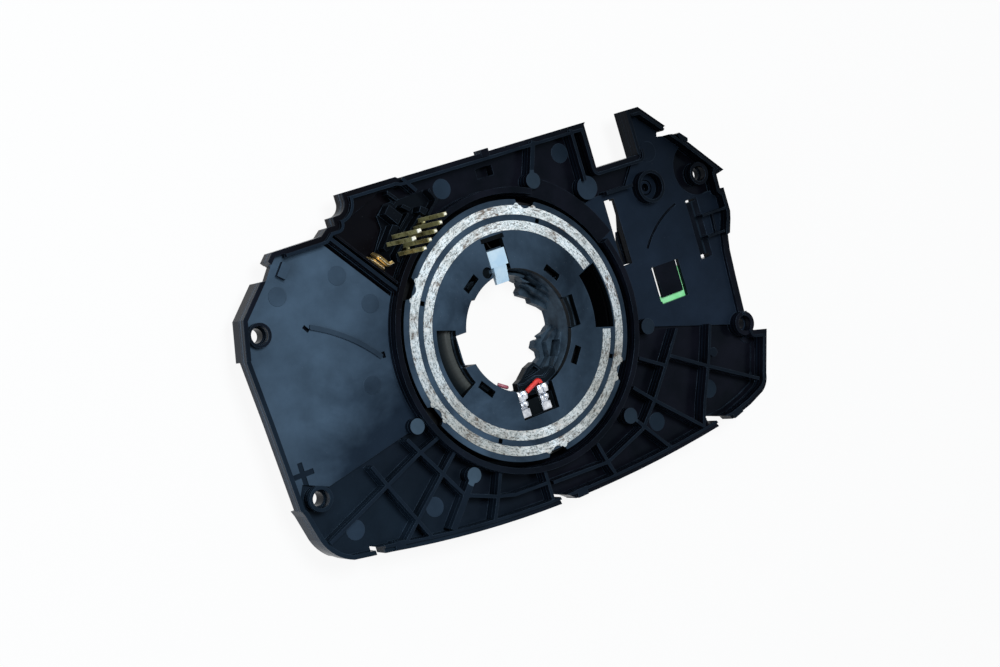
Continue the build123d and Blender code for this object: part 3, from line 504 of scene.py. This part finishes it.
# Crimped terminal: distance from the front end, half width, height (mm), and depth of the seam
# between the rolled wings as a share of the height.
TERMINAL = [(0.0, 1.9, 1.5, 0.4), (0.35, 2.5, 2.2, 0.45), (1.8, 2.75, 2.6, 0.45),
            (3.6, 2.6, 2.4, 0.45), (3.9, 2.2, 1.4, 0.3), (4.1, 1.8, 0.8, 0.0),
            (4.3, 1.8, 0.9, 0.0), (4.6, 2.1, 1.7, 0.4), (5.4, 2.25, 2.0, 0.4),
            (6.4, 2.1, 1.8, 0.4), (6.7, 1.7, 0.9, 0.0), (7.2, 1.6, 0.7, 0.0),
            (7.4, 2.0, 1.1, 0.0), (7.6, 2.1, 1.25, 0.0), (10.6, 2.1, 1.25, 0.0),
            (10.9, 2.0, 1.0, 0.0)]
TERMINAL_STEPS = 96
TERMINAL_ACROSS = 24
WING_SIDE = 0.35                    # height of a rolled wing at its outer side, as a share
TAB_EDGE = (0.92, 0.85)             # where the tab's edge starts across it, and its height
SHARP_ANGLE = 38.0


def terminal_size(u):
    """Half width, height and seam of the terminal at a distance from its front end."""
    for (u0, *low), (u1, *high) in zip(TERMINAL, TERMINAL[1:]):
        if u <= u1:
            t = (u - u0) / (u1 - u0)
            return [a + (b - a) * t for a, b in zip(low, high)]
    return TERMINAL[-1][1:]


def terminal_rise(s, seam):
    """Share of the height at s across the terminal, from -1 to 1."""
    if not seam:
        return 1.0 if abs(s) < TAB_EDGE[0] else TAB_EDGE[1]
    bulge = math.sqrt(max(0.0, 1 - (2 * abs(s) - 1) ** 2))
    if abs(s) < 0.5:
        return 1 - seam + seam * bulge
    return WING_SIDE + (1 - WING_SIDE) * bulge


def terminal(name, node):
    """Tab terminal with two pairs of rolled crimp wings, in place of the plain solid."""
    low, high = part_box(node)
    middle = (low[0] + high[0]) / 2
    front, bottom = high[1], low[2]
    mesh = bmesh.new()
    rows = []
    length = TERMINAL[-1][0]
    for i in range(TERMINAL_STEPS + 1):
        u = length * i / TERMINAL_STEPS
        half, tall, seam = terminal_size(u)
        row = []
        for j in range(TERMINAL_ACROSS + 1):
            s = 2 * j / TERMINAL_ACROSS - 1
            lift = tall * terminal_rise(s, seam)
            row.append(mesh.verts.new((middle + s * half * MM, front - u * MM,
                                       bottom + lift * MM)))
        row += [mesh.verts.new((v.co.x, v.co.y, bottom)) for v in (row[-1], row[0])]
        rows.append(row)
    for near, far in zip(rows, rows[1:]):
        for j in range(len(near)):
            k = (j + 1) % len(near)
            mesh.faces.new((near[j], near[k], far[k], far[j]))
    mesh.faces.new(rows[0])
    mesh.faces.new(list(reversed(rows[-1])))
    obj = piece(name, mesh, "terminal_metal")
    obj.data.set_sharp_from_angle(angle=math.radians(SHARP_ANGLE))
    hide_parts(node)


terminal("crimp_left", "terminal_left")
terminal("crimp_right", "terminal_right")

# ---------------------------------------------------------------- set and light
# The camera and reflections see the world as white, and the floor as nearly white.
WORLD_TINT = (0.80, 0.90, 1.0, 1.0)
WORLD_FILL = 0.17                   # strength of the world for all other light
FLOOR_SIZE = 40.0                   # metres, as the gap below the part
FLOOR_GAP = 0.0002
FLOOR_LIT = 0.08                    # share of the floor's look that comes from its lighting
FLOOR_GRAIN = 400.0
FLOOR_TONES = (0.88, 0.92)


def seen_as_white(tree):
    """1 for rays from the camera and for glossy rays."""
    rays = tree.nodes.new("ShaderNodeLightPath")
    either = tree.nodes.new("ShaderNodeMath")
    either.operation = "MAXIMUM"
    tree.links.new(rays.outputs["Is Camera Ray"], either.inputs[0])
    tree.links.new(rays.outputs["Is Glossy Ray"], either.inputs[1])
    return either.outputs[0]


def studio():
    """White world with a faint bluish light."""
    world = bpy.data.worlds.new("studio")
    bpy.context.scene.world = world
    world.use_nodes = True
    tree = world.node_tree
    tree.nodes.clear()
    add = tree.nodes.new
    white, fill = add("ShaderNodeBackground"), add("ShaderNodeBackground")
    white.inputs["Color"].default_value = (1, 1, 1, 1)
    white.inputs["Strength"].default_value = 1.0
    fill.inputs["Color"].default_value = WORLD_TINT
    fill.inputs["Strength"].default_value = WORLD_FILL
    pick, end = add("ShaderNodeMixShader"), add("ShaderNodeOutputWorld")
    for source, target in ((seen_as_white(tree), pick.inputs[0]),
                           (fill.outputs[0], pick.inputs[1]),
                           (white.outputs[0], pick.inputs[2]),
                           (pick.outputs[0], end.inputs[0])):
        tree.links.new(source, target)


def pale_floor():
    """Pale floor under the part: seen from above only, nearly white, with a faint shadow."""
    mat = bpy.data.materials.new("pale_floor")
    mat.use_nodes = True
    tree = mat.node_tree
    tree.nodes.clear()
    add = tree.nodes.new
    grain, tint = add("ShaderNodeTexNoise"), add("ShaderNodeValToRGB")
    grain.inputs["Scale"].default_value = FLOOR_GRAIN
    for point, tone in zip(tint.color_ramp.elements, FLOOR_TONES):
        point.color = (tone, tone, tone, 1)
    matt, glow = add("ShaderNodeBsdfDiffuse"), add("ShaderNodeEmission")
    side, clear = add("ShaderNodeNewGeometry"), add("ShaderNodeBsdfTransparent")
    amount = add("ShaderNodeMath")
    amount.operation = "MULTIPLY"
    amount.inputs[1].default_value = 1.0 - FLOOR_LIT
    lit, one_side = add("ShaderNodeMixShader"), add("ShaderNodeMixShader")
    end = add("ShaderNodeOutputMaterial")
    for source, target in ((grain.outputs["Fac"], tint.inputs["Fac"]),
                           (tint.outputs["Color"], matt.inputs["Color"]),
                           (seen_as_white(tree), amount.inputs[0]),
                           (amount.outputs[0], lit.inputs[0]),
                           (matt.outputs[0], lit.inputs[1]),
                           (glow.outputs[0], lit.inputs[2]),
                           (side.outputs["Backfacing"], one_side.inputs[0]),
                           (lit.outputs[0], one_side.inputs[1]),
                           (clear.outputs[0], one_side.inputs[2]),
                           (one_side.outputs[0], end.inputs["Surface"])):
        tree.links.new(source, target)
    half, level = FLOOR_SIZE / 2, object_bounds()[0][2] - FLOOR_GAP
    corners = [(x, y, level) for x, y in ((-half, -half), (half, -half),
                                          (half, half), (-half, half))]
    data = bpy.data.meshes.new("floor")
    data.from_pydata(corners, [], [(0, 1, 2, 3)])
    data.materials.append(mat)
    floor = bpy.data.objects.new("floor", data)
    bpy.context.scene.collection.objects.link(floor)
    floor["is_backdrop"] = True


# place in metres, size of the disk, power and colour
LAMPS = {
    "overhead": ((-0.05, 0.30, 1.0), 0.40, 7.6, (0.92, 0.97, 1.0)),
    "left": ((-0.9, 0.1, 0.30), 0.5, 3.0, (0.74, 0.88, 1.0)),
}


def area_light(name, pos, size, power, color):
    """Disk lamp that shines at the origin."""
    lamp = bpy.data.lights.new(name, "AREA")
    lamp.shape = "DISK"
    lamp.size = size
    lamp.energy = power
    lamp.color = color
    obj = bpy.data.objects.new(name, lamp)
    bpy.context.scene.collection.objects.link(obj)
    obj.location = pos
    obj.rotation_euler = (-Vector(pos)).to_track_quat("-Z", "Y").to_euler()


studio()
pale_floor()
for name, values in LAMPS.items():
    area_light(name, *values)

# ---------------------------------------------------------------- camera
SENSOR_WIDTH = 36.0                 # mm, as the lens and the camera's place
LENS = 61.6
CAMERA_AT = (-345.8, 71.2, 558.0 + FACE_Z)
NEAR_CLIP = 0.01                    # metres
RIGHT = Vector((0.80431, -0.28552, 0.52111))
UP = Vector((0.29851, 0.95244, 0.06111))
BACK = Vector((-0.51378, 0.10640, 0.85130))

cam_data = bpy.data.cameras.new("camera")
cam_data.sensor_width = SENSOR_WIDTH
cam_data.lens = LENS
cam_data.clip_start = NEAR_CLIP
cam = bpy.data.objects.new("camera", cam_data)
bpy.context.scene.collection.objects.link(cam)
axes = Matrix((RIGHT.normalized(), UP.normalized(), BACK.normalized())).transposed().to_4x4()
cam.matrix_world = Matrix.Translation(Vector(CAMERA_AT) * MM) @ axes
bpy.context.scene.camera = cam
bpy.context.scene.view_settings.view_transform = "Standard"
